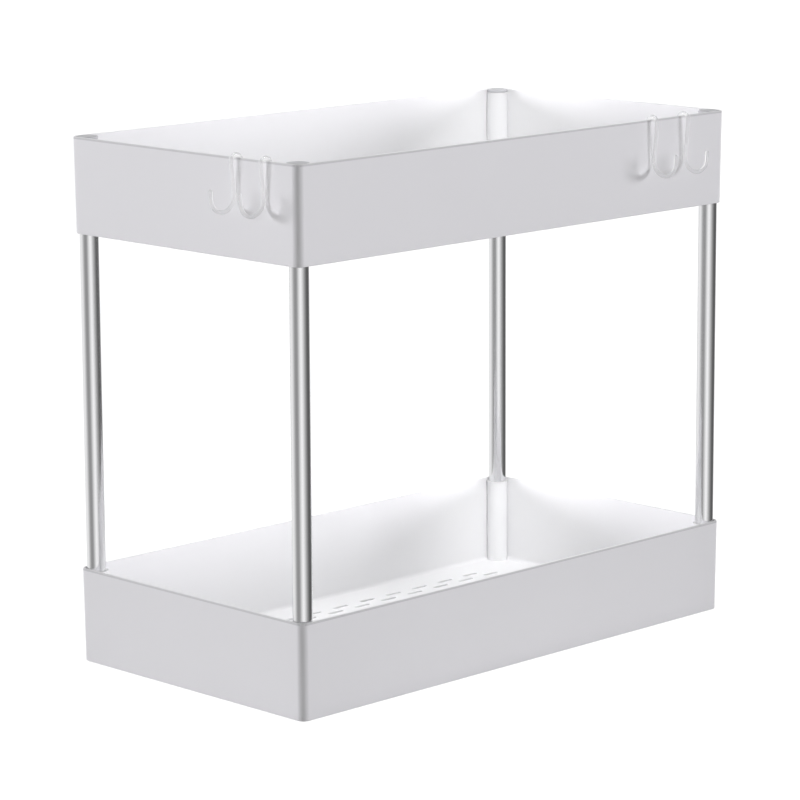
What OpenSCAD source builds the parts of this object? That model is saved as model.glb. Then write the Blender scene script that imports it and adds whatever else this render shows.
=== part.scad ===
// Two tier organizer for the cupboard under a sink
// Two moulded trays stand on four steel tubes, with caps, foot plugs and hooks over the upper rim.
// Front is -Y, left is -X, and the base stands on Z = 0. Sizes are in millimetres.

/* [Trays] */
// Length of a tray across its rim
tray_l = 400; // [300:5:480]
// Width of a tray across its rim
tray_w = 215; // [170:5:280]
// Height of a tray
tray_h = 63.5; // [50:0.5:90]
// Height of the whole organizer, from the base to the upper rim
overall_h = 350; // [260:5:420]
// Thickness of the walls, whose rim is fully rounded
wall = 2; // [1.6:0.1:2.6]
// Thickness of the floor
floor_t = 2; // [1.6:0.1:3]
// Outside radius of the upright corners
corner_r = 5.5; // [5.5:0.5:7.5]
// Outward lean of the walls, in degrees
draft = 0.5; // [0.1:0.1:1]
// Radius of the outer bottom edge
edge_r = 1; // [0.4:0.1:1]
// Radius where the floor turns up into the walls
floor_r = 2.5; // [1:0.1:2.5]

/* [Drain slots] */
// Length of a slot over its round ends
slot_l = 14; // [8:1:20]
// Width of a slot
slot_w = 3.2; // [2:0.2:5]
// Distance from slot to slot along a row
slot_pitch = 26; // [24:1:40]
// Distance between the two rows of a band, which are half a pitch apart
row_gap = 8.5; // [7:0.5:12]
// Distance of the outer bands from the middle of the floor
band_y = 76; // [30:1:76]
// Bare length of floor kept between the slots and the end walls
slot_margin = 30; // [20:1:60]

/* [Corner posts] */
// Wall of the round post around its socket
post_wall = 1; // [1:0.1:1.6]
// How far the mouth of a socket lies below the rim of the lower tray
mouth_drop = 2; // [1:0.1:4]
// Growth of the post's radius at its mouth
flare = 0.5; // [0.2:0.1:0.5]
// Height of that growth
flare_h = 1.2; // [0.6:0.1:2]
// Web across the socket at half the height of the tray, on which the tubes seat
stop_t = 2; // [1.5:0.1:4]

/* [Tubes] */
// Outside diameter of a tube
tube_d = 12.7; // [10:0.1:14]
// Wall of a tube
tube_wall = 0.6; // [0.4:0.1:1.2]
// Play around a tube, cap or plug in its socket
socket_play = 0.05; // [0.02:0.01:0.1]

/* [Corner caps] */
// How far the round plate stays inside the post's radius
cap_step = 0.2; // [0:0.1:0.4]
// Thickness of the plate, which lies flush in the upper rim
cap_t = 2; // [1.1:0.1:2.5]
// Gap between the plate and its pocket in the rim
cap_gap = 0.1; // [0.05:0.05:0.2]
// Length of the stem below the plate
stem_l = 10; // [6:1:16]
// Wall of the hollow stem
stem_wall = 1.5; // [1:0.1:2]

/* [Foot plugs] */
// Height of a plug inside the socket
plug_h = 9; // [5:1:16]
// Thickness of its closed bottom
plug_t = 2.5; // [1.5:0.1:4]
// Wall of its open cup
plug_wall = 1.8; // [1:0.1:2.5]

/* [Hooks] */
// Diameter of the round plastic strand
strand_d = 2.6; // [2:0.1:3.2]
// Radius of the arch over the rim, to the middle of the strand
arch_r = 4; // [4:0.1:6]
// Radius of the bowl that carries the load, to the middle of the strand
bowl_r = 9.7; // [7:0.1:12]
// Depth of the left hooks' bowl below the rim, to the middle of the strand
left_drop = 33.2; // [28:0.1:42]
// Depth of the front hooks' bowl below the rim, to the middle of the strand
front_drop = 37.2; // [30:0.1:44]
// Height of the straight end above the middle of the bowl
tip_l = 4; // [2:0.1:12]
// Length of the short leg inside the tray
leg_l = 8; // [6:0.5:14]
// Lean of the long shank towards the wall, in degrees
shank_lean = 5.5; // [4:0.1:7]
// Clear gap between a hook and the rim or wall that carries it
hook_gap = 0.3; // [0.2:0.05:0.4]
// Distance of the left side's near hook from the front face
left_near = 29; // [22:0.1:34]
// Distance from that hook to the left side's far hook
left_step = 26.7; // [20:0.1:60]
// Distance of the front's far hook from the right face
front_far = 43.3; // [36:0.1:60]
// Distance from that hook to the front's near hook
front_step = 31.6; // [20:0.1:60]

/* [Hidden] */
$fn = 64;
tray_colour = [0.93, 0.93, 0.945];
steel_colour = [0.72, 0.73, 0.75];
cap_colour = [0.69, 0.69, 0.71];
plug_colour = [0.80, 0.80, 0.80];
hook_colour = [0.96, 0.97, 0.98];

// Depth by which a cutting body passes the face that it cuts
cut = 1;

// Radii of a tube, of its socket and of the post around the socket
tube_r = tube_d / 2;
socket_r = tube_r + socket_play;
post_r = socket_r + post_wall;
cap_r = post_r - cap_step;
// The wall has come in by this much at the base, and the post stays just inside it there
lean_in = tray_h * tan(draft);
post_skin = 0.05;
post_inset = post_r + lean_in + post_skin;
post_x = tray_l / 2 - post_inset;
post_y = tray_w / 2 - post_inset;
// Base of the upper tray, and the faces of the web in each socket above a tray's base
upper_z = overall_h - tray_h;
seat_low = (tray_h - stop_t) / 2;
seat_high = (tray_h + stop_t) / 2;
tube_l = upper_z + seat_low - seat_high;

// Directions along the leaning wall and square to it, in the section of the wall
up = [sin(draft), cos(draft)];
out = [cos(draft), -sin(draft)];
// Middles of the rim's round, of the bottom edge's radius and of the floor's radius
rim_c = [corner_r - wall / 2, tray_h - wall / 2];
face_top = rim_c + out * wall / 2;
well_top = rim_c - out * wall / 2;
edge_run = (face_top.y - edge_r * (1 - sin(draft))) / cos(draft);
edge_c = face_top - up * edge_run - out * edge_r;
well_run = (well_top.y - floor_t - floor_r * (1 - sin(draft))) / cos(draft);
well_c = well_top - up * well_run - out * floor_r;

// A hook is drawn from the top of the rim's outer face: x runs outwards and y up
strand_r = strand_d / 2;
// Straights enter the bends by a small lap, and are thinner than them by a small step
lap = 0.2;
step = 0.01;
arch_y = hook_gap + strand_r - arch_r;
shank_dir = [-sin(shank_lean), -cos(shank_lean)];
shank_out = [cos(shank_lean), -sin(shank_lean)];
// The short leg ends beside the inner face of the wall
leg_foot_x = -wall - strand_r - hook_gap - (leg_l - arch_y) * tan(draft);

// Places its children at one corner, mirrored so that +X and +Y point out of the tray there
module at_corner(side_x, side_y, x, y, z = 0) {
  translate([side_x * x, side_y * y, z])
    mirror([side_x < 0 ? 1 : 0, 0, 0])
      mirror([0, side_y < 0 ? 1 : 0, 0])
        children();
}

module at_corners(x, y, z = 0) {
  for (side_x = [-1, 1], side_y = [-1, 1])
    at_corner(side_x, side_y, x, y, z) children();
}

// Section of floor, wall and rim, from the middle of a corner's radius outwards
module wall_section() {
  difference() {
    polygon([
      [0, 0], [edge_c.x, 0], edge_c, edge_c + out * edge_r, face_top,
      well_top, well_c + out * floor_r, [well_c.x, floor_t], [0, floor_t]
    ]);
    translate(well_c)
      circle(floor_r);
  }
  translate(rim_c)
    circle(wall / 2);
  translate(edge_c)
    intersection() {
      circle(edge_r);
      translate([0, -edge_r])
        square(edge_r);
    }
}

// A straight run of the section, outwards along +Y
module wall_run(len) {
  rotate([90, 0, 90])
    linear_extrude(len, center = true)
      wall_section();
}

// Floor, walls and rim: one section carried round a rounded rectangle
module shell() {
  inner_l = tray_l - 2 * corner_r;
  inner_w = tray_w - 2 * corner_r;
  translate([-inner_l / 2, -inner_w / 2, 0])
    cube([inner_l, inner_w, floor_t]);
  for (side = [0, 180]) {
    rotate([0, 0, side])
      translate([0, inner_w / 2, 0])
        wall_run(inner_l);
    rotate([0, 0, side - 90])
      translate([0, inner_l / 2, 0])
        wall_run(inner_w);
  }
  at_corners(inner_l / 2, inner_w / 2)
    rotate_extrude(angle = 90)
      wall_section();
}

// Round post from the floor to its mouth, which may be flared
module post(top, flared) {
  straight_top = flared ? top - flare_h : top;
  translate([0, 0, floor_t / 2])
    cylinder(h = straight_top - floor_t / 2, r = post_r);
  if (flared)
    translate([0, 0, straight_top])
      cylinder(h = flare_h, r1 = post_r, r2 = post_r + flare);
}

// Sockets above and below the web, in which tubes, caps and plugs seat
module sockets() {
  translate([0, 0, -cut])
    cylinder(h = seat_low + cut, r = socket_r);
  translate([0, 0, seat_high])
    cylinder(h = tray_h - seat_high + cut, r = socket_r);
}

module slot_outline() {
  half = (slot_l - slot_w) / 2;
  square([2 * half, slot_w], center = true);
  for (side = [-1, 1])
    translate([side * half, 0])
      circle(slot_w / 2);
}

// Bands of two staggered rows, symmetric about the middle of the floor
module drain_slots() {
  reach = tray_l / 2 - slot_margin - slot_l / 2;
  for (band = [-band_y, 0, band_y], row = [0, 1]) {
    shift = row * slot_pitch / 2;
    last = floor((reach - shift) / slot_pitch);
    for (i = [-last - row : last])
      translate([i * slot_pitch + shift, band + (row - 0.5) * row_gap, -cut])
        linear_extrude(floor_t + 2 * cut)
          slot_outline();
  }
}

module tray(top, flared) {
  difference() {
    union() {
      shell();
      at_corners(post_x, post_y)
        post(top, flared);
    }
    at_corners(post_x, post_y)
      sockets();
    drain_slots();
  }
}

module lower_tray() {
  color(tray_colour)
    tray(tray_h - mouth_drop, true);
}

// The rim's inner side has a round pocket for each cap's plate, and the wall's skin runs on outside it
module upper_tray() {
  color(tray_colour)
    translate([0, 0, upper_z])
      difference() {
        tray(tray_h - cap_t, false);
        at_corners(post_x, post_y, tray_h - cap_t)
          cylinder(h = cap_t + cut, r = cap_r + cap_gap);
      }
}

module tube(side_x, side_y) {
  color(steel_colour)
    at_corner(side_x, side_y, post_x, post_y, seat_high)
      difference() {
        cylinder(h = tube_l, r = tube_r);
        translate([0, 0, -cut])
          cylinder(h = tube_l + 2 * cut, r = tube_r - tube_wall);
      }
}

module cap(side_x, side_y) {
  color(cap_colour)
    at_corner(side_x, side_y, post_x, post_y, overall_h - cap_t) {
      cylinder(h = cap_t, r = cap_r);
      translate([0, 0, -stem_l])
        difference() {
          cylinder(h = stem_l, r = tube_r);
          translate([0, 0, -cut])
            cylinder(h = stem_l + cut, r = tube_r - stem_wall);
        }
    }
}

// Open cup pushed up into the socket, its closed bottom flush with the base
module foot(side_x, side_y) {
  color(plug_colour)
    at_corner(side_x, side_y, post_x, post_y)
      difference() {
        cylinder(h = plug_h, r = tube_r);
        translate([0, 0, plug_t])
          cylinder(h = plug_h, r = tube_r - plug_wall);
      }
}

// Part of a ring of strand in the drawing plane, anticlockwise from one angle to another
module bend(radius, from, to) {
  rotate([0, 0, from])
    rotate_extrude(angle = to - from)
      translate([radius, 0])
        circle(strand_r);
}

// Straight strand from a point of the drawing plane, at an angle from its x axis
module straight(point, angle, len) {
  translate(point)
    rotate([0, 90, angle])
      cylinder(h = len, r = strand_r - step);
}

module round_end(point) {
  translate(point)
    sphere(strand_r - 2 * step);
}

// One strand: short leg, arch over the rim, leaning shank, round bowl and upright end
module hook_shape(drop) {
  $fn = 40;
  bowl_y = bowl_r - drop;
  shank_l = (arch_y - bowl_y - (arch_r + bowl_r) * sin(shank_lean)) / cos(shank_lean);
  // The shank ends beside the wall, which leans in below the rim
  shank_foot_x = bowl_y * tan(draft) + strand_r + hook_gap;
  bowl = [shank_foot_x + bowl_r * shank_out.x, bowl_y];
  arch = [shank_foot_x - shank_l * shank_dir.x - arch_r * shank_out.x, arch_y];
  leg_lean = asin((leg_foot_x - arch.x + arch_r) / leg_l);
  leg_dir = [sin(leg_lean), -cos(leg_lean)];
  leg_top = arch - arch_r * [cos(leg_lean), sin(leg_lean)];
  shank_top = arch + arch_r * shank_out;
  arm_foot = bowl + [bowl_r, 0];
  rotate([90, 0, 0]) {
    round_end(leg_top + leg_l * leg_dir);
    straight(leg_top - lap * leg_dir, leg_lean - 90, leg_l + lap);
    translate(arch)
      bend(arch_r, -shank_lean, 180 + leg_lean);
    straight(shank_top - lap * shank_dir, -90 - shank_lean, shank_l + 2 * lap);
    translate(bowl)
      bend(bowl_r, 180 - shank_lean, 360);
    straight(arm_foot - [0, lap], 90, tip_l + lap);
    round_end(arm_foot + [0, tip_l]);
  }
}

// A hook over the left wall, at a distance from the front face
module hook_left(from_front) {
  color(hook_colour)
    translate([-tray_l / 2, -tray_w / 2 + from_front, overall_h])
      rotate([0, 0, 180])
        hook_shape(left_drop);
}

// A hook over the front wall, at a distance from the right face
module hook_front(from_right) {
  color(hook_colour)
    translate([tray_l / 2 - from_right, -tray_w / 2, overall_h])
      rotate([0, 0, -90])
        hook_shape(front_drop);
}

lower_tray();
upper_tray();
tube(-1, -1);  // tube_front_left
tube(1, -1);  // tube_front_right
tube(-1, 1);  // tube_back_left
tube(1, 1);  // tube_back_right
cap(-1, -1);  // cap_front_left
cap(1, -1);  // cap_front_right
cap(-1, 1);  // cap_back_left
cap(1, 1);  // cap_back_right
foot(-1, -1);  // foot_front_left
foot(1, -1);  // foot_front_right
foot(-1, 1);  // foot_back_left
foot(1, 1);  // foot_back_right
hook_left(left_near);  // hook_left_near
hook_left(left_near + left_step);  // hook_left_far
hook_front(front_far + front_step);  // hook_front_near
hook_front(front_far);  // hook_front_far
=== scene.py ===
"""Two-tier organizer for the cupboard under a sink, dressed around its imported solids.

Front is -Y, left is -X, and the base stands on Z = 0. Lengths are in metres.
"""
import math

import bmesh
import bpy
from bpy.props import FloatProperty, FloatVectorProperty, IntProperty, PointerProperty
from mathutils import Matrix, Vector


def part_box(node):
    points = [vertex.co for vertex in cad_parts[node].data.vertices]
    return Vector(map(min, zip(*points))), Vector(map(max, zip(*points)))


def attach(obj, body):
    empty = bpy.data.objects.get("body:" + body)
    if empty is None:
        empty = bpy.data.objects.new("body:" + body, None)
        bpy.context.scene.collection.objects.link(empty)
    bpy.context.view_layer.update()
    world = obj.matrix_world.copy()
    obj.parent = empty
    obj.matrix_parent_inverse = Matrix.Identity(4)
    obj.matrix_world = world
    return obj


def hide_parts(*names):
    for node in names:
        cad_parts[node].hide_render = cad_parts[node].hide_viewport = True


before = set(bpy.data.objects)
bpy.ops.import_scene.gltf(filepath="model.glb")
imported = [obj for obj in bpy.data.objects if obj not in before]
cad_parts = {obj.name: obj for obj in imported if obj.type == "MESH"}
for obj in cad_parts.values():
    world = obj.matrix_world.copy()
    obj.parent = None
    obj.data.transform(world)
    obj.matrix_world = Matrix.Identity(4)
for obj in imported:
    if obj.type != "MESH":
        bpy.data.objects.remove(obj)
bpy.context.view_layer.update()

bl_info = {
    "name": "Under-Sink Organizer",
    "version": (1, 0, 0),
    "blender": (4, 5, 0),
    "location": "View3D > Sidebar > Organizer",
    "description": "Builds the trays, tubes, caps, plugs and hooks of a two-tier organizer",
    "category": "Object",
}

MM = 0.001
# Side of each corner along X and Y
CORNERS = {
    "front_left": (-1, -1),
    "front_right": (1, -1),
    "back_left": (-1, 1),
    "back_right": (1, 1),
}
# Screens round the studio as metal shows them: place round the turn from behind by the left, and shade
MIRROR_STOPS = (
    (0.20, 1.0), (0.25, 0.9), (0.33, 0.42), (0.38, 0.32), (0.43, 0.40), (0.49, 0.88), (0.54, 1.12),
    (0.58, 0.95), (0.65, 0.48), (0.73, 0.16), (0.81, 0.10), (0.88, 0.3), (0.92, 1.0),
)
# How often a set of cuts is tried, and how much of the volume it may change
CARVE_TRIES = 6
CARVE_CHANGE = 0.25
# Body that every piece but the hooks rides on
FRAME_BODY = "frame"


def size_of(node):
    low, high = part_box(node)
    return high - low


def middle_of(node):
    low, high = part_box(node)
    return (low + high) / 2


def length(name, text, default):
    return FloatProperty(name=name, description=text, default=default, min=0, subtype="DISTANCE", unit="LENGTH")


def colour(name, text, default):
    return FloatVectorProperty(name=name, description=text, default=default, min=0, max=1, size=3, subtype="COLOR")


def share(name, text, default):
    return FloatProperty(name=name, description=text, default=default, min=0, max=1, subtype="FACTOR")


def strength(name, text, default):
    return FloatProperty(name=name, description=text, default=default, min=0)


def angle(name, text, degrees):
    return FloatProperty(name=name, description=text, default=math.radians(degrees), subtype="ANGLE", unit="ROTATION")


TRAY = size_of("lower_tray")
POST = Vector(map(abs, middle_of("tube_front_left")))
TUBE = size_of("tube_front_left")


class OrganizerTraySizes(bpy.types.PropertyGroup):
    tray_length: length("Length", "Length of a tray across its rim", TRAY.x)
    tray_width: length("Width", "Width of a tray across its rim", TRAY.y)
    tray_height: length("Height", "Height of a tray", TRAY.z)
    wall: length("Wall", "Thickness of the walls", 2 * MM)
    floor: length("Floor", "Thickness of the floor", 2 * MM)
    corner: length("Corner radius", "Outside radius of the upright corners", 5.5 * MM)
    lean: length("Lean", "How far a wall comes in from its rim to its base", 0.55 * MM)
    edge: length("Edge radius", "Radius of the outer bottom edge", 1 * MM)
    hollow: length("Floor radius", "Radius where the floor turns up into the walls", 2.5 * MM)
    slot_length: length("Slot length", "Length of a drain slot over its round ends", 14 * MM)
    slot_width: length("Slot width", "Width of a drain slot", 3.2 * MM)
    slot_pitch: length("Slot pitch", "Distance from slot to slot along a row", 26 * MM)
    slot_edge: length("Slot edge", "Rounding of the slots' upper edges", 0.5 * MM)
    row_gap: length("Row gap", "Distance between the two rows of a band", 8.5 * MM)
    band: length("Band place", "Distance of the outer bands from the middle", 76 * MM)
    bare_end: length("Bare end", "Floor kept bare before the end walls", 30 * MM)
    post: length("Post radius", "Radius of the post round a socket", 7.4 * MM)
    socket: length("Socket radius", "Radius of a socket", 6.4 * MM)
    flare: length("Flare", "Growth of the post's radius at its mouth", 0.5 * MM)
    flare_height: length("Flare height", "Height of that growth", 1.2 * MM)
    mouth: length("Mouth depth", "Depth of the lower tray's sockets below its rim", 2 * MM)
    web: length("Web", "Web across a socket at half the tray's height", 2 * MM)


class OrganizerPartSizes(bpy.types.PropertyGroup):
    tube_radius: length("Tube radius", "Outside radius of a tube", TUBE.x / 2)
    tube_wall: length("Tube wall", "Wall of a tube", 0.6 * MM)
    tube_edge: length("Tube edge", "Chamfer at the ends of a tube", 0.2 * MM)
    cap_radius: length("Cap radius", "Radius of a cap's round plate", 7.2 * MM)
    cap_plate: length("Cap plate", "Thickness of the plate", 2 * MM)
    cap_gap: length("Cap gap", "Gap between the plate and its pocket in the rim", 0.1 * MM)
    cap_edge: length("Cap edge", "Rounding of the plate's upper edge", 0.35 * MM)
    stem_wall: length("Stem wall", "Wall of the cap's hollow stem", 1.5 * MM)
    plug_floor: length("Plug floor", "Thickness of a foot plug's closed end", 2.5 * MM)
    plug_wall: length("Plug wall", "Wall of a foot plug", 1.8 * MM)
    plug_edge: length("Plug edge", "Rounding of a foot plug's edges", 0.5 * MM)
    strand: length("Strand radius", "Radius of a hook's round strand", 1.3 * MM)
    arch: length("Arch radius", "Radius of the arch over the rim", 4 * MM)
    bowl: length("Bowl radius", "Radius of the bowl that carries the load", 9.7 * MM)
    left_drop: length("Left drop", "Depth of the left hooks' bowls below the rim", 33.2 * MM)
    front_drop: length("Front drop", "Depth of the front hooks' bowls below the rim", 37.2 * MM)
    tip: length("Tip", "Height of the straight end above the bowl's middle", 4 * MM)
    leg: length("Leg", "Length of the short leg inside the tray", 8 * MM)
    hook_gap: length("Hook gap", "Gap between a hook and the wall that carries it", 0.3 * MM)
    shank_lean: angle("Shank lean", "Lean of the long shank towards the wall", 5.5)
    draft: angle("Draft", "Lean of the tray's walls", 0.5)


class OrganizerFinishes(bpy.types.PropertyGroup):
    tray: colour("Tray", "White moulded plastic of the trays", (0.88, 0.88, 0.89))
    tray_rough: share("Tray roughness", "Roughness of the trays", 0.34)
    # Painted shade: a darker band under the outside of the rims, its height and how dark it is
    painted_shade_band: length("Crease", "Height of the crease under the outside of the rims", 1.3 * MM)
    painted_shade_depth: share("Crease shade", "Shade of the crease against the plain plastic", 0.78)
    steel: colour("Steel", "Bright steel of the tubes", (0.80, 0.80, 0.81))
    steel_rough: share("Steel roughness", "Roughness of the tubes", 0.17)
    cap: colour("Cap", "Grey plastic of the caps", (0.53, 0.53, 0.55))
    plug: colour("Plug", "Soft grey of the foot plugs", (0.55, 0.55, 0.55))
    hook: colour("Hook", "Milky clear plastic of the hooks", (0.985, 0.985, 0.99))
    hook_clear: share("Hook clearness", "Share of the light that is bent through the hooks", 0.88)
    hook_alpha: share("Hook opacity", "Share of the light that doesn't pass straight through a hook's surface", 0.95)


class OrganizerStage(bpy.types.PropertyGroup):
    lens: FloatProperty(name="Lens", description="Focal length on a 36 mm sensor", default=160.2, min=1, subtype="DISTANCE_CAMERA")
    place: FloatVectorProperty(name="Camera place", description="Where the camera stands", default=(-1.6611, -1.6685, 0.6247), size=3, subtype="TRANSLATION")
    yaw: angle("Yaw", "Turn of the camera from +Y towards +X", 44.75)
    pitch: angle("Pitch", "Tilt of the camera below the horizon", 11.11)
    roll: angle("Roll", "Roll of the camera", -0.295)
    room: strength("Room", "Strength of the plain light from all round", 0.3)
    left: strength("Left light", "Strength of the light from the left", 2.66)
    right: strength("Right light", "Strength of the light from the right", 2.6)
    side_colour: colour("Side colour", "Colour of the side lights", (0.972, 0.957, 1.0))
    side_height: angle("Side height", "Height of the side lights above the horizon", 3)
    side_soft: angle("Side softness", "Width of the side lights as seen from the object", 22)
    over: strength("Overhead lights", "Power of the flat light over each tray", 0.235)
    over_rise: length("Overhead height", "Height of that light over the rim", 200 * MM)
    over_share: share("Overhead size", "Size of that light as a share of the tray's", 0.9)
    over_shift: share("Overhead shift", "How far that light is moved towards the back right corner", 0.1)
    over_spread: angle("Overhead spread", "Spread of that light", 85)
    fill: strength("Corner lights", "Power of the round light aimed at each tray's back right corner", 0.019)
    fill_rise: length("Corner light height", "Height of that light over the rim", 160 * MM)
    fill_width: length("Corner light width", "Width of that light", 65 * MM)
    fill_place: length("Corner light place", "Distance of that light to the right and to the front of the tray's middle", 90 * MM)
    fill_spread: angle("Corner light spread", "Spread of that light", 38)
    rings: IntProperty(name="Round steps", description="Steps round a tube", default=64, min=12)


class Value:
    """A shader value. The usual operators on it add Math nodes."""

    def __init__(self, paint, socket):
        self.paint = paint
        self.socket = socket

    def maths(self, operation, *others):
        values = {i: v for i, v in enumerate((self, *others))}
        return Value(self.paint, self.paint.node("Math", {"operation": operation}, values).outputs[0])

    def __add__(self, other):
        return self.maths("ADD", other)

    def __sub__(self, other):
        return self.maths("SUBTRACT", other)

    def __rsub__(self, other):
        return Value(self.paint, self.paint.node("Math", {"operation": "SUBTRACT"}, {0: other, 1: self}).outputs[0])

    def __mul__(self, other):
        return self.maths("MULTIPLY", other)

    def __truediv__(self, other):
        return self.maths("DIVIDE", other)

    def __pow__(self, other):
        return self.maths("POWER", other)

    def clamped(self, low, high):
        return self.maths("MAXIMUM", low).maths("MINIMUM", high)

    def smooth(self, low, high):
        node = self.paint.node(
            "MapRange", {"interpolation_type": "SMOOTHSTEP"}, {"Value": self, "From Min": low, "From Max": high}
        )
        return Value(self.paint, node.outputs["Result"])

    __radd__ = __add__
    __rmul__ = __mul__


class Paint:
    """Nodes of one material or world."""

    def __init__(self, owner):
        owner.use_nodes = True
        self.tree = owner.node_tree
        self.tree.nodes.clear()

    def node(self, kind, settings=None, values=None):
        """Adds a node, sets it up, and then sets or links its inputs."""
        node = self.tree.nodes.new("ShaderNode" + kind)
        for name, setting in (settings or {}).items():
            if name == "stops":
                self.set_stops(node.color_ramp, setting)
            else:
                setattr(node, name, setting)
        for name, value in (values or {}).items():
            socket = node.inputs[name]
            if isinstance(value, Value):
                value = value.socket
            if isinstance(value, bpy.types.NodeSocket):
                self.tree.links.new(value, socket)
            else:
                socket.default_value = value
        return node

    @staticmethod
    def set_stops(ramp, stops):
        while len(ramp.elements) < len(stops):
            ramp.elements.new(0.5)
        for element, (place, shade) in zip(ramp.elements, stops):
            element.position = place
            element.color = (*shade, 1) if isinstance(shade, tuple) else (shade, shade, shade, 1)

    def value(self, kind, settings=None, values=None, output=0):
        return Value(self, self.node(kind, settings, values).outputs[output])

    def place(self, scale=(1, 1, 1)):
        """The piece's own coordinates in metres, stretched by a scale."""
        own = self.node("TexCoord").outputs["Object"]
        return self.node("Mapping", None, {"Vector": own, "Scale": scale}).outputs[0]

    def noise(self, place, scale, detail=3, rough=0.5):
        return self.value("TexNoise", None, {"Vector": place, "Scale": scale, "Detail": detail, "Roughness": rough})

    def mix(self, factor, first, second):
        return self.node("Mix", {"data_type": "RGBA"}, {0: factor, 6: first, 7: second}).outputs[2]

    def bump(self, height, distance, strength=1.0):
        return self.node("Bump", None, {"Height": height, "Distance": distance, "Strength": strength}).outputs[0]

    def surface(self, **values):
        """Principled surface; underscores in the names stand for spaces."""
        shader = self.node("BsdfPrincipled", None, {k.replace("_", " "): v for k, v in values.items()})
        self.node("OutputMaterial", None, {"Surface": shader.outputs[0]})


def tinted(rgb, gain):
    return tuple(min(1.0, c * gain) for c in rgb) + (1.0,)


def new_paint(name):
    material = bpy.data.materials.new(name)
    return material, Paint(material)


def painted_rim_shade(paint, finish):
    """1 along a band of painted shade just under the outside of a tray's rim, else 0."""
    own = paint.node("SeparateXYZ", None, {0: paint.place()}).outputs
    x, y, z = (Value(paint, socket) for socket in own)
    outside = (x.maths("ABSOLUTE") - TRAY.x / 2).maths("MAXIMUM", y.maths("ABSOLUTE") - TRAY.y / 2)
    below = TRAY.z - z.maths("MODULO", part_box("upper_tray")[0].z)
    band = below.smooth(0, 0.4 * finish.painted_shade_band) * (1 - below.smooth(finish.painted_shade_band, 1.4 * finish.painted_shade_band))
    return band * outside.smooth(-0.9 * MM, -0.5 * MM)


def tray_plastic(finish):
    """White moulded plastic: a fine spark texture under a soft shine, with faint flow clouds, and painted shade in a
    band under the outside of the rims.
    """
    material, paint = new_paint("tray_plastic")
    grain = paint.noise(paint.place(), 2600, 2)
    clouds = paint.noise(paint.place(), 9, 3)
    plain = paint.mix(clouds, tinted(finish.tray, 0.985), tinted(finish.tray, 1.015))
    paint.surface(
        # Painted shade darkens the band just under the outside of each rim
        Base_Color=paint.mix(painted_rim_shade(paint, finish), plain, tinted(finish.tray, finish.painted_shade_depth)),
        Roughness=finish.tray_rough + 0.10 * (grain - 0.5) + 0.08 * (clouds - 0.5),
        Normal=paint.bump(grain, 0.02 * MM, 0.35),
        IOR=1.5,
    )
    return material


def bright_steel(finish):
    """Steel tube: drawn lines along its length and a slow change of shine."""
    material, paint = new_paint("bright_steel")
    lines = paint.noise(paint.place((1, 1, 0.012)), 3800, 2)
    clouds = paint.noise(paint.place((1, 1, 0.3)), 60, 3)
    paint.surface(
        Base_Color=paint.mix(clouds, tinted(finish.steel, 0.97), tinted(finish.steel, 1.02)),
        Metallic=1.0,
        Roughness=finish.steel_rough + 0.08 * (lines - 0.5) + 0.05 * (clouds - 0.5),
        Normal=paint.bump(lines, 0.004 * MM, 0.5),
    )
    return material


def cap_plastic(finish):
    """Grey plastic with a fine eroded texture."""
    material, paint = new_paint("cap_plastic")
    grain = paint.noise(paint.place(), 3200, 3)
    paint.surface(
        Base_Color=paint.mix(grain, tinted(finish.cap, 0.95), tinted(finish.cap, 1.06)),
        Roughness=0.42 + 0.16 * (grain - 0.5),
        Normal=paint.bump(grain, 0.03 * MM, 0.5),
        IOR=1.5,
    )
    return material


def plug_rubber(finish):
    """Soft plug: dull, slightly mottled, scuffed where it stands."""
    material, paint = new_paint("plug_rubber")
    grain = paint.noise(paint.place(), 1800, 4)
    paint.surface(
        Base_Color=paint.mix(grain, tinted(finish.plug, 0.9), tinted(finish.plug, 1.08)),
        Roughness=0.72 + 0.2 * (grain - 0.5),
        Normal=paint.bump(grain, 0.05 * MM, 0.6),
        IOR=1.5,
    )
    return material


def hook_plastic(finish):
    """Clear plastic with a milky tone and faint flow lines."""
    material, paint = new_paint("hook_plastic")
    flow = paint.noise(paint.place((1, 1, 0.25)), 420, 3)
    paint.surface(
        Base_Color=paint.mix(flow, tinted(finish.hook, 0.97), tinted(finish.hook, 1.02)),
        Roughness=0.12 + 0.08 * (flow - 0.5),
        Transmission_Weight=finish.hook_clear,
        Alpha=finish.hook_alpha,
        IOR=1.4,
    )
    return material


def finished(name, mesh, material, body, slot, *replaced):
    """Makes the object of a finished mesh, ties it to the body, and hides the nodes that it stands for."""
    mesh.name = name
    mesh.materials.clear()
    mesh.materials.append(material)
    piece = bpy.data.objects.new(name, mesh)
    bpy.context.scene.collection.objects.link(piece)
    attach(piece, body)
    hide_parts(*replaced)
    return piece


def to_mesh(bm, name="part", smooth_below=35):
    """Mesh of a bmesh: smooth, but sharp where faces meet at more than an angle in degrees."""
    bm.normal_update()
    limit = math.radians(smooth_below)
    for face in bm.faces:
        face.smooth = True
    for edge in bm.edges:
        edge.smooth = not (len(edge.link_faces) == 2 and edge.calc_face_angle(0) > limit)
    mesh = bpy.data.meshes.new(name)
    bm.to_mesh(mesh)
    bm.free()
    return mesh


def weighted(piece):
    """Large flat faces keep their own shade beside the small rounded ones."""
    modifier = piece.modifiers.new("Even shade", "WEIGHTED_NORMAL")
    modifier.keep_sharp = True
    modifier.weight = 50


def volume_of(mesh):
    bm = bmesh.new()
    bm.from_mesh(mesh)
    volume = bm.calc_volume()
    bm.free()
    return volume


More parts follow.
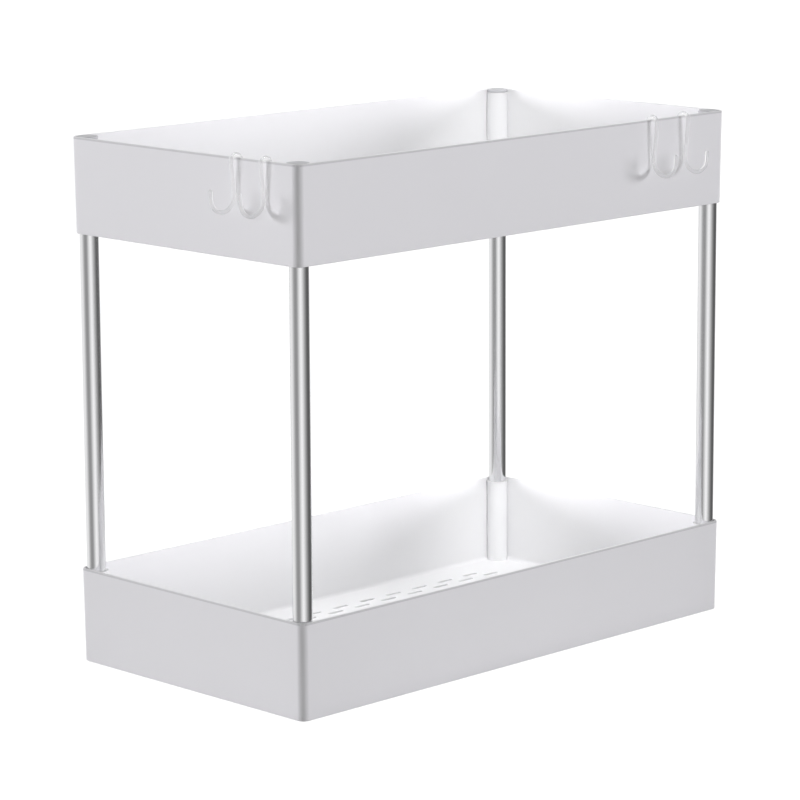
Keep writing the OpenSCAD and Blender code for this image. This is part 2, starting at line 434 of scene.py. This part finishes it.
def carve(base, *steps):
    """Joins parts to a mesh and cuts parts from it, and gives back a bmesh of the result.

    Each step is an operation and the bmesh of the part that it uses. The cuts are tried again
    where they leave the body open or take far more or less away than the parts could.
    """
    parts = []
    for operation, bm in steps:
        mesh = bpy.data.meshes.new("tool")
        bm.to_mesh(mesh)
        bm.free()
        parts.append((operation, mesh))
    whole = volume_of(base)
    for _ in range(CARVE_TRIES):
        solid = bpy.data.objects.new("solid", base)
        things = [solid]
        bpy.context.scene.collection.objects.link(solid)
        for operation, mesh in parts:
            tool = bpy.data.objects.new("tool", mesh)
            bpy.context.scene.collection.objects.link(tool)
            things.append(tool)
            modifier = solid.modifiers.new(operation, "BOOLEAN")
            modifier.operation = operation
            modifier.solver = "EXACT"
            modifier.object = tool
        graph = bpy.context.evaluated_depsgraph_get()
        result = bmesh.new()
        result.from_mesh(solid.evaluated_get(graph).to_mesh())
        for thing in things:
            bpy.data.objects.remove(thing)
        bmesh.ops.remove_doubles(result, verts=result.verts, dist=0.002 * MM)
        bmesh.ops.dissolve_degenerate(result, edges=result.edges, dist=0.002 * MM)
        closed = all(len(e.link_faces) == 2 for e in result.edges)
        if closed and abs(result.calc_volume() / whole - 1) < CARVE_CHANGE:
            break
        result.free()
    else:
        raise RuntimeError("the cuts left no sound body")
    for mesh in (base, *(mesh for _, mesh in parts)):
        bpy.data.meshes.remove(mesh)
    return result


def soften(bm, edges, offset, segments):
    if edges:
        bmesh.ops.bevel(
            bm, geom=edges, offset=offset, offset_type="OFFSET", segments=segments, profile=0.5,
            affect="EDGES", material=-1, clamp_overlap=True,
        )


def sharp_edges(bm, degrees=50):
    bm.normal_update()
    return [e for e in bm.edges if len(e.link_faces) == 2 and e.calc_face_angle(0) > math.radians(degrees)]


def lathe(profile, steps, centre=(0, 0)):
    """Closed body of revolution about an upright axis, from radius and height pairs."""
    bm = bmesh.new()
    verts = [bm.verts.new((centre[0] + r, centre[1], z)) for r, z in profile]
    edges = [bm.edges.new(pair) for pair in zip(verts, verts[1:])]
    if profile[0][0] > 0 or profile[-1][0] > 0:
        edges.append(bm.edges.new((verts[-1], verts[0])))
    bmesh.ops.spin(
        bm, geom=verts + edges, cent=(*centre, 0), axis=(0, 0, 1), dvec=(0, 0, 0),
        angle=math.tau, steps=steps, use_merge=True, use_duplicate=False,
    )
    bmesh.ops.remove_doubles(bm, verts=bm.verts, dist=0.001 * MM)
    bmesh.ops.recalc_face_normals(bm, faces=bm.faces)
    return bm


def added(bm, *others):
    """Moves other bmeshes into the first."""
    for other in others:
        mesh = bpy.data.meshes.new("part")
        other.to_mesh(mesh)
        other.free()
        bm.from_mesh(mesh)
        bpy.data.meshes.remove(mesh)
    return bm


def each_corner(sizes):
    x = sizes.tray_length / 2 - POST_INSET
    y = sizes.tray_width / 2 - POST_INSET
    return [(side_x * x, side_y * y) for side_x, side_y in CORNERS.values()]


POST_INSET = TRAY.x / 2 - POST.x


def tray_shell(s):
    """Open box with a rounded rim, from one block: corners rounded, well sunk in, edges rounded."""
    bm = bmesh.new()
    bmesh.ops.create_cube(bm, size=1)
    bmesh.ops.scale(bm, vec=(s.tray_length, s.tray_width, s.tray_height), verts=bm.verts)
    bmesh.ops.translate(bm, vec=(0, 0, s.tray_height / 2), verts=bm.verts)
    upright = [e for e in bm.edges if abs(e.verts[0].co.z - e.verts[1].co.z) > MM]
    soften(bm, upright, s.corner, 10)
    bm.normal_update()
    top = [f for f in bm.faces if f.normal.z > 0.9]
    bmesh.ops.inset_region(bm, faces=top, thickness=s.wall, use_even_offset=True)
    sunk = bmesh.ops.extrude_face_region(bm, geom=top)
    bmesh.ops.delete(bm, geom=top, context="FACES_ONLY")
    well = [v for v in sunk["geom"] if isinstance(v, bmesh.types.BMVert)]
    bmesh.ops.translate(bm, vec=(0, 0, s.floor - s.tray_height), verts=well)
    for v in bm.verts:
        depth = 1 - v.co.z / s.tray_height
        v.co.x -= math.copysign(s.lean * depth, v.co.x)
        v.co.y -= math.copysign(s.lean * depth, v.co.y)

    def level(z):
        return [e for e in bm.edges if all(abs(v.co.z - z) < 1e-6 for v in e.verts) and len(e.link_faces) == 2]

    bm.normal_update()
    rim = [e for e in level(s.tray_height) if any(abs(f.normal.z) < 0.5 for f in e.link_faces)]
    soften(bm, rim, s.wall / 2 - 0.02 * MM, 4)
    soften(bm, level(0), s.edge, 3)
    soften(bm, level(s.floor), s.hollow, 5)
    return bm


def posts(s, top, flare):
    """Posts round the four sockets, flared at the mouth."""
    low = s.floor / 2
    profile = [
        (0, low), (s.post, low), (s.post, top - s.flare_height),
        (s.post + flare, top), (0, top),
    ]
    return added(bmesh.new(), *[lathe(profile, 48, corner) for corner in each_corner(s)])


def sockets(s, seat, room):
    """Cutters of the sockets, from below and from above with a web between; the upper ones widen at a seat."""
    over = s.tray_height + MM
    top = (s.tray_height - s.web) / 2
    low = [(0, -MM), (s.socket, -MM), (s.socket, top), (0, top)]
    base = top + s.web
    high = [(0, base), (s.socket, base), (s.socket, seat), (room, seat), (room, over), (0, over)]
    return added(bmesh.new(), *[lathe(p, 48, corner) for corner in each_corner(s) for p in (low, high)])


def slot_cutter(s):
    """Cutter of one drain slot along X, which leaves a rounded edge at the top of the floor."""
    bm = bmesh.new()
    made = bmesh.ops.create_circle(bm, cap_ends=False, radius=s.slot_width / 2, segments=16)
    bmesh.ops.rotate(bm, verts=made["verts"], cent=(0, 0, 0), matrix=Matrix.Rotation(math.tau / 32, 3, "Z"))
    stretch = (s.slot_length - s.slot_width) / 2
    edges = bm.edges[:]
    start = edges
    turns = [math.radians(degrees) for degrees in (0, 30, 60)]
    levels = [(s.slot_edge * (1 - math.cos(t)), s.floor - s.slot_edge * (1 - math.sin(t))) for t in turns]
    # The last slope goes on to above the floor
    out, z = levels[-1]
    levels.append((out + MM * math.sin(turns[-1]), z + MM * math.cos(turns[-1])))
    rim = s.slot_width / 2
    for out, z in levels:
        edges = extended(bm, edges, (0, 0, 0), (s.slot_width / 2 + out) / rim)
        rim = s.slot_width / 2 + out
        for v in {v for e in edges for v in e.verts}:
            v.co.z = z
    for v in bm.verts:
        v.co.x += math.copysign(stretch, v.co.x)
        if v.co.z == 0:
            v.co.z = -MM
    bmesh.ops.contextual_create(bm, geom=start)
    bmesh.ops.contextual_create(bm, geom=edges)
    bmesh.ops.recalc_face_normals(bm, faces=bm.faces)
    return bm


def drain_slots(s):
    """Cutters of the bands of staggered slots."""
    bm = bmesh.new()
    reach = s.tray_length / 2 - s.bare_end - s.slot_length / 2
    for band in (-s.band, 0, s.band):
        for row in (0, 1):
            shift = row * s.slot_pitch / 2
            last = math.floor((reach - shift) / s.slot_pitch)
            for i in range(-last - row, last + 1):
                slot = slot_cutter(s)
                place = (i * s.slot_pitch + shift, band + (row - 0.5) * s.row_gap, 0)
                bmesh.ops.translate(slot, vec=place, verts=slot.verts)
                added(bm, slot)
    return bm


class ORGANIZER_OT_trays(bpy.types.Operator):
    """Make both trays: shell, posts, sockets and drain slots"""

    bl_idname = "organizer.trays"
    bl_label = "Trays"

    def execute(self, context):
        s = context.scene.organizer_tray
        parts = context.scene.organizer_parts
        material = tray_plastic(context.scene.organizer_finishes)
        for name, base_z in (("lower_tray", 0.0), ("upper_tray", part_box("upper_tray")[0].z)):
            upper = name == "upper_tray"
            if upper:
                # The posts end just under the round pockets of the caps' plates
                seat = s.tray_height - parts.cap_plate
                shaft = posts(s, seat - parts.cap_gap, 0.0)
                room = parts.cap_radius + parts.cap_gap
            else:
                seat = s.tray_height
                shaft = posts(s, s.tray_height - s.mouth, s.flare)
                room = s.socket
            shell = bpy.data.meshes.new("shell")
            bm = tray_shell(s)
            bm.to_mesh(shell)
            bm.free()
            bm = carve(shell, ("UNION", shaft), ("DIFFERENCE", added(sockets(s, seat, room), drain_slots(s))))
            bmesh.ops.translate(bm, vec=(0, 0, base_z), verts=bm.verts)
            piece = finished(name + "_moulding", to_mesh(bm), material, FRAME_BODY, "tray_plastic", name)
            weighted(piece)
        return {"FINISHED"}


class ORGANIZER_OT_tubes(bpy.types.Operator):
    """Make the four steel tubes, chamfered at both ends"""

    bl_idname = "organizer.tubes"
    bl_label = "Tubes"

    def execute(self, context):
        parts = context.scene.organizer_parts
        steps = context.scene.organizer_stage.rings
        material = bright_steel(context.scene.organizer_finishes)
        inner = parts.tube_radius - parts.tube_wall
        for corner in CORNERS:
            low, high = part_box("tube_" + corner)
            centre = (low + high) / 2
            profile = [
                (inner, low.z), (parts.tube_radius, low.z), (parts.tube_radius, high.z), (inner, high.z),
            ]
            bm = lathe(profile, steps, (centre.x, centre.y))
            soften(bm, sharp_edges(bm), parts.tube_edge, 2)
            piece = finished("steel_tube_" + corner, to_mesh(bm), material, FRAME_BODY, "tube_steel", "tube_" + corner)
            weighted(piece)
        return {"FINISHED"}


class ORGANIZER_OT_caps(bpy.types.Operator):
    """Make the corner caps: a plate flush in the rim, on a hollow stem"""

    bl_idname = "organizer.caps"
    bl_label = "Corner caps"

    def execute(self, context):
        parts = context.scene.organizer_parts
        material = cap_plastic(context.scene.organizer_finishes)
        inner = parts.tube_radius - parts.stem_wall
        for corner in CORNERS:
            low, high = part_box("cap_" + corner)
            centre = (low + high) / 2
            seat = high.z - parts.cap_plate
            bm = lathe(
                [
                    (0, seat), (inner, seat), (inner, low.z), (parts.tube_radius, low.z),
                    (parts.tube_radius, seat), (parts.cap_radius, seat), (parts.cap_radius, high.z), (0, high.z),
                ],
                64, (centre.x, centre.y),
            )
            crown = [e for e in sharp_edges(bm) if all(v.co.z > seat - MM / 2 and (v.co.xy - centre.xy).length > parts.cap_radius - MM / 10 for v in e.verts)]
            soften(bm, crown, parts.cap_edge, 3)
            piece = finished("corner_cap_" + corner, to_mesh(bm), material, FRAME_BODY, "cap_plastic", "cap_" + corner)
            weighted(piece)
        return {"FINISHED"}


class ORGANIZER_OT_plugs(bpy.types.Operator):
    """Make the foot plugs in the lower tray's bottom sockets"""

    bl_idname = "organizer.plugs"
    bl_label = "Foot plugs"

    def execute(self, context):
        parts = context.scene.organizer_parts
        material = plug_rubber(context.scene.organizer_finishes)
        inner = parts.tube_radius - parts.plug_wall
        for corner in CORNERS:
            low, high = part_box("foot_" + corner)
            centre = (low + high) / 2
            bm = lathe(
                [
                    (0, low.z), (parts.tube_radius, low.z), (parts.tube_radius, high.z),
                    (inner, high.z), (inner, low.z + parts.plug_floor), (0, low.z + parts.plug_floor),
                ],
                48, (centre.x, centre.y),
            )
            soften(bm, sharp_edges(bm), parts.plug_edge, 3)
            piece = finished("foot_plug_" + corner, to_mesh(bm), material, FRAME_BODY, "foot_rubber", "foot_" + corner)
            weighted(piece)
        return {"FINISHED"}


def ring_edges(geom):
    return [e for e in geom if isinstance(e, bmesh.types.BMEdge)]


def extended(bm, edges, move, shrink=1.0):
    """Carries an open ring of edges on by a move, and scales it about its own middle."""
    made = bmesh.ops.extrude_edge_only(bm, edges=edges)["geom"]
    verts = [v for v in made if isinstance(v, bmesh.types.BMVert)]
    bmesh.ops.translate(bm, vec=move, verts=verts)
    middle = sum((v.co for v in verts), Vector()) / len(verts)
    for v in verts:
        v.co = middle + (v.co - middle) * shrink
    return ring_edges(made)


def dome(bm, edges, direction, radius, steps=5):
    """Closes a ring of edges with half a ball."""
    for i in range(steps):
        before, after = i * math.pi / 2 / steps, (i + 1) * math.pi / 2 / steps
        rise = radius * (math.sin(after) - math.sin(before))
        shrink = max(math.cos(after), 0.02) / math.cos(before)
        edges = extended(bm, edges, direction * rise, shrink)
    bmesh.ops.contextual_create(bm, geom=edges)


def bent(bm, edges, centre, sweep, steps):
    """Carries a ring of edges round a centre in the drawing plane, clockwise as seen from the front."""
    made = bmesh.ops.spin(
        bm, geom=edges, cent=centre, axis=(0, 1, 0), dvec=(0, 0, 0), angle=sweep, steps=steps,
    )
    return ring_edges(made["geom_last"])


def hook_strand(p, drop):
    """One strand in the XZ plane: x out from the wall's outer face, z up from the rim."""
    wall = 2 * MM
    shank_out = Vector((math.cos(p.shank_lean), 0, -math.sin(p.shank_lean)))
    shank_down = Vector((-math.sin(p.shank_lean), 0, -math.cos(p.shank_lean)))
    arch_z = p.hook_gap + p.strand - p.arch
    bowl_z = p.bowl - drop
    shank = (arch_z - bowl_z - (p.arch + p.bowl) * math.sin(p.shank_lean)) / math.cos(p.shank_lean)
    foot_x = bowl_z * math.tan(p.draft) + p.strand + p.hook_gap
    arch_x = foot_x - shank * shank_down.x - p.arch * shank_out.x
    leg_foot_x = -wall - p.strand - p.hook_gap - (p.leg - arch_z) * math.tan(p.draft)
    leg_lean = math.asin((leg_foot_x - arch_x + p.arch) / p.leg)
    leg_down = Vector((math.sin(leg_lean), 0, -math.cos(leg_lean)))
    arch = Vector((arch_x, 0, arch_z))
    bowl = Vector((foot_x + p.bowl * shank_out.x, 0, bowl_z))
    leg_top = arch - p.arch * Vector((math.cos(leg_lean), 0, math.sin(leg_lean)))

    bm = bmesh.new()
    made = bmesh.ops.create_circle(bm, cap_ends=False, radius=p.strand, segments=24)
    facing = leg_down.to_track_quat("Z", "Y").to_matrix()
    bmesh.ops.rotate(bm, verts=made["verts"], cent=(0, 0, 0), matrix=facing)
    bmesh.ops.translate(bm, verts=made["verts"], vec=leg_top + leg_down * p.leg)
    start = bm.edges[:]
    edges = extended(bm, start, -leg_down * p.leg)
    edges = bent(bm, edges, arch, math.pi + p.shank_lean + leg_lean, 24)
    edges = extended(bm, edges, shank_down * shank)
    edges = bent(bm, edges, bowl, -(math.pi + p.shank_lean), 36)
    edges = extended(bm, edges, Vector((0, 0, p.tip)))
    dome(bm, edges, Vector((0, 0, 1)), p.strand)
    dome(bm, start, leg_down, p.strand)
    bmesh.ops.recalc_face_normals(bm, faces=bm.faces)
    return bm


class ORGANIZER_OT_hooks(bpy.types.Operator):
    """Make the four hooks over the upper rim"""

    bl_idname = "organizer.hooks"
    bl_label = "Hooks"

    def execute(self, context):
        parts = context.scene.organizer_parts
        material = hook_plastic(context.scene.organizer_finishes)
        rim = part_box("upper_tray")
        for node in ("hook_left_near", "hook_left_far", "hook_front_near", "hook_front_far"):
            middle = middle_of(node)
            turn, drop = (math.pi, parts.left_drop) if "left" in node else (-math.pi / 2, parts.front_drop)
            bm = hook_strand(parts, drop)
            bmesh.ops.rotate(bm, verts=bm.verts, cent=(0, 0, 0), matrix=Matrix.Rotation(turn, 3, "Z"))
            place = (rim[0].x, middle.y, rim[1].z) if "left" in node else (middle.x, rim[0].y, rim[1].z)
            bmesh.ops.translate(bm, vec=place, verts=bm.verts)
            finished("strand_" + node, to_mesh(bm), material, node, "hook_plastic", node)
        return {"FINISHED"}


def studio_world(stage):
    """Pale studio: even light, white to the camera, with screens all round that metal shows."""
    world = bpy.data.worlds.new("studio")
    bpy.context.scene.world = world
    paint = Paint(world)
    towards = (-math.sin(stage.yaw), -math.cos(stage.yaw), 0)
    right = (-towards[1], towards[0], 0)
    direction = paint.node("TexCoord").outputs["Generated"]
    flat = paint.node("VectorMath", {"operation": "MULTIPLY"}, {0: direction, 1: (1, 1, 0)}).outputs[0]
    flat = paint.node("VectorMath", {"operation": "NORMALIZE"}, {0: flat}).outputs[0]
    facing = paint.value("VectorMath", {"operation": "DOT_PRODUCT"}, {0: flat, 1: towards}, "Value")
    side = paint.value("VectorMath", {"operation": "DOT_PRODUCT"}, {0: flat, 1: right}, "Value")
    light = paint.node("LightPath")
    # Reflections from straight behind, by the left, round to the camera and on by the right
    turn = side.maths("ARCTAN2", facing) / math.tau + 0.5
    mirror = paint.value("ValToRGB", {"stops": MIRROR_STOPS}, {"Fac": turn})
    shade = stage.room + (mirror - stage.room) * Value(paint, light.outputs["Is Glossy Ray"])
    through = Value(paint, light.outputs["Is Transmission Ray"])
    shade = shade + (1 - shade) * Value(paint, light.outputs["Is Camera Ray"]).maths("MAXIMUM", through)
    background = paint.node("Background", None, {"Color": shade, "Strength": 1.0})
    paint.node("OutputWorld", None, {"Surface": background.outputs[0]})


def floor_material():
    """Pale floor: white to the camera and in reflections, and it keeps the object's shadow."""
    material, paint = new_paint("studio_floor")
    light = paint.node("LightPath")
    seen = Value(paint, light.outputs["Is Camera Ray"]).maths("MAXIMUM", Value(paint, light.outputs["Is Glossy Ray"]))
    seen = seen.maths("MAXIMUM", Value(paint, light.outputs["Is Transmission Ray"]))
    diffuse = paint.node("BsdfDiffuse", None, {"Color": (0.7, 0.7, 0.7, 1)})
    glow = paint.node("Emission", None, {"Color": (1, 1, 1, 1), "Strength": 0.86})
    both = paint.node("AddShader", None, {0: glow.outputs[0], 1: diffuse.outputs[0]})
    shader = paint.node("MixShader", None, {0: seen, 1: diffuse.outputs[0], 2: both.outputs[0]})
    paint.node("OutputMaterial", None, {"Surface": shader.outputs[0]})
    return material


def sun(name, azimuth, elevation, strength, soft):
    """Even light from an azimuth, counted from the camera's side towards its right, and a height."""
    stage = bpy.context.scene.organizer_stage
    data = bpy.data.lights.new(name, "SUN")
    data.energy = strength
    data.angle = soft
    data.color = stage.side_colour
    lamp = bpy.data.objects.new(name, data)
    bpy.context.scene.collection.objects.link(lamp)
    a = stage.yaw - azimuth
    towards = Vector((-math.sin(a) * math.cos(elevation), -math.cos(a) * math.cos(elevation), math.sin(elevation)))
    lamp.rotation_euler = towards.to_track_quat("Z", "Y").to_euler()
    lamp.visible_glossy = False
    return lamp


def well_light(name, shape, width, depth, power, spread, place, aim):
    """Soft light inside a tray's outline, so that only the tray's well sees it."""
    data = bpy.data.lights.new(name, "AREA")
    data.shape = shape
    data.size = width
    data.size_y = depth
    data.energy = power
    data.spread = spread
    lamp = bpy.data.objects.new(name, data)
    bpy.context.scene.collection.objects.link(lamp)
    lamp.location = place
    lamp.rotation_euler = (place - aim).to_track_quat("Z", "Y").to_euler()
    lamp.visible_camera = False
    lamp.visible_glossy = False
    lamp.visible_transmission = False


def well_lights(tray, stage):
    """A flat light over a tray's floor and a round one that fills its back right corner."""
    low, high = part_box(tray)
    size = (high - low) * stage.over_share
    above = (high - low - size) / 2 * stage.over_shift
    above.z = high.z + stage.over_rise
    below = Vector((above.x, above.y, high.z))
    well_light(tray + "_overhead", "RECTANGLE", size.x, size.y, stage.over, stage.over_spread, above, below)
    width = stage.fill_width
    place = Vector((stage.fill_place, -stage.fill_place, high.z + stage.fill_rise))
    aim = Vector((high.x, high.y, (low.z + high.z) / 2))
    well_light(tray + "_corner", "DISK", width, width, stage.fill, stage.fill_spread, place, aim)


class ORGANIZER_OT_stage(bpy.types.Operator):
    """Set the floor, the lights and the camera"""

    bl_idname = "organizer.stage"
    bl_label = "Stage"

    def execute(self, context):
        scene = context.scene
        stage = scene.organizer_stage
        bm = bmesh.new()
        bmesh.ops.create_grid(bm, x_segments=1, y_segments=1, size=6)
        mesh = bpy.data.meshes.new("studio_floor")
        bm.to_mesh(mesh)
        bm.free()
        mesh.materials.append(floor_material())
        ground = bpy.data.objects.new("studio_floor", mesh)
        scene.collection.objects.link(ground)
        ground.location.z = -0.0002
        ground.visible_glossy = False
        studio_world(stage)
        sun("left_light", math.radians(-90), stage.side_height, stage.left, stage.side_soft)
        sun("right_light", math.radians(90), stage.side_height, stage.right, stage.side_soft)
        well_lights("lower_tray", stage)
        well_lights("upper_tray", stage)
        data = bpy.data.cameras.new("camera")
        data.lens = stage.lens
        data.sensor_width = 36
        camera = bpy.data.objects.new("camera", data)
        scene.collection.objects.link(camera)
        turn = Matrix.Rotation(-stage.yaw, 4, "Z") @ Matrix.Rotation(math.pi / 2 - stage.pitch, 4, "X")
        camera.matrix_world = Matrix.Translation(stage.place) @ turn @ Matrix.Rotation(stage.roll, 4, "Z")
        scene.camera = camera
        scene.view_settings.view_transform = "Standard"
        return {"FINISHED"}


class ORGANIZER_PT_sidebar(bpy.types.Panel):
    """Steps that build the organizer, and the sizes and colours that they use"""

    bl_idname = "ORGANIZER_PT_sidebar"
    bl_label = "Under-Sink Organizer"
    bl_space_type = "VIEW_3D"
    bl_region_type = "UI"
    bl_category = "Organizer"

    def draw(self, context):
        for operator in OPERATORS:
            self.layout.operator(operator.bl_idname)
        for group in (name for name, _ in GROUPS):
            box = self.layout.box()
            values = getattr(context.scene, group)
            for name in values.bl_rna.properties.keys():
                if name not in ("rna_type", "name"):
                    box.prop(values, name)


OPERATORS = (
    ORGANIZER_OT_stage,
    ORGANIZER_OT_trays,
    ORGANIZER_OT_tubes,
    ORGANIZER_OT_caps,
    ORGANIZER_OT_plugs,
    ORGANIZER_OT_hooks,
)
GROUPS = (
    ("organizer_tray", OrganizerTraySizes),
    ("organizer_parts", OrganizerPartSizes),
    ("organizer_finishes", OrganizerFinishes),
    ("organizer_stage", OrganizerStage),
)
CLASSES = tuple(group for _, group in GROUPS) + OPERATORS + (ORGANIZER_PT_sidebar,)


def register():
    for cls in CLASSES:
        bpy.utils.register_class(cls)
    for name, group in GROUPS:
        setattr(bpy.types.Scene, name, PointerProperty(type=group))


def unregister():
    for name, _ in GROUPS:
        delattr(bpy.types.Scene, name)
    for cls in reversed(CLASSES):
        bpy.utils.unregister_class(cls)


def main():
    register()
    for operator in OPERATORS:
        group, name = operator.bl_idname.split(".")
        getattr(getattr(bpy.ops, group), name)()
    bpy.context.view_layer.update()


if __name__ == "__main__":
    main()
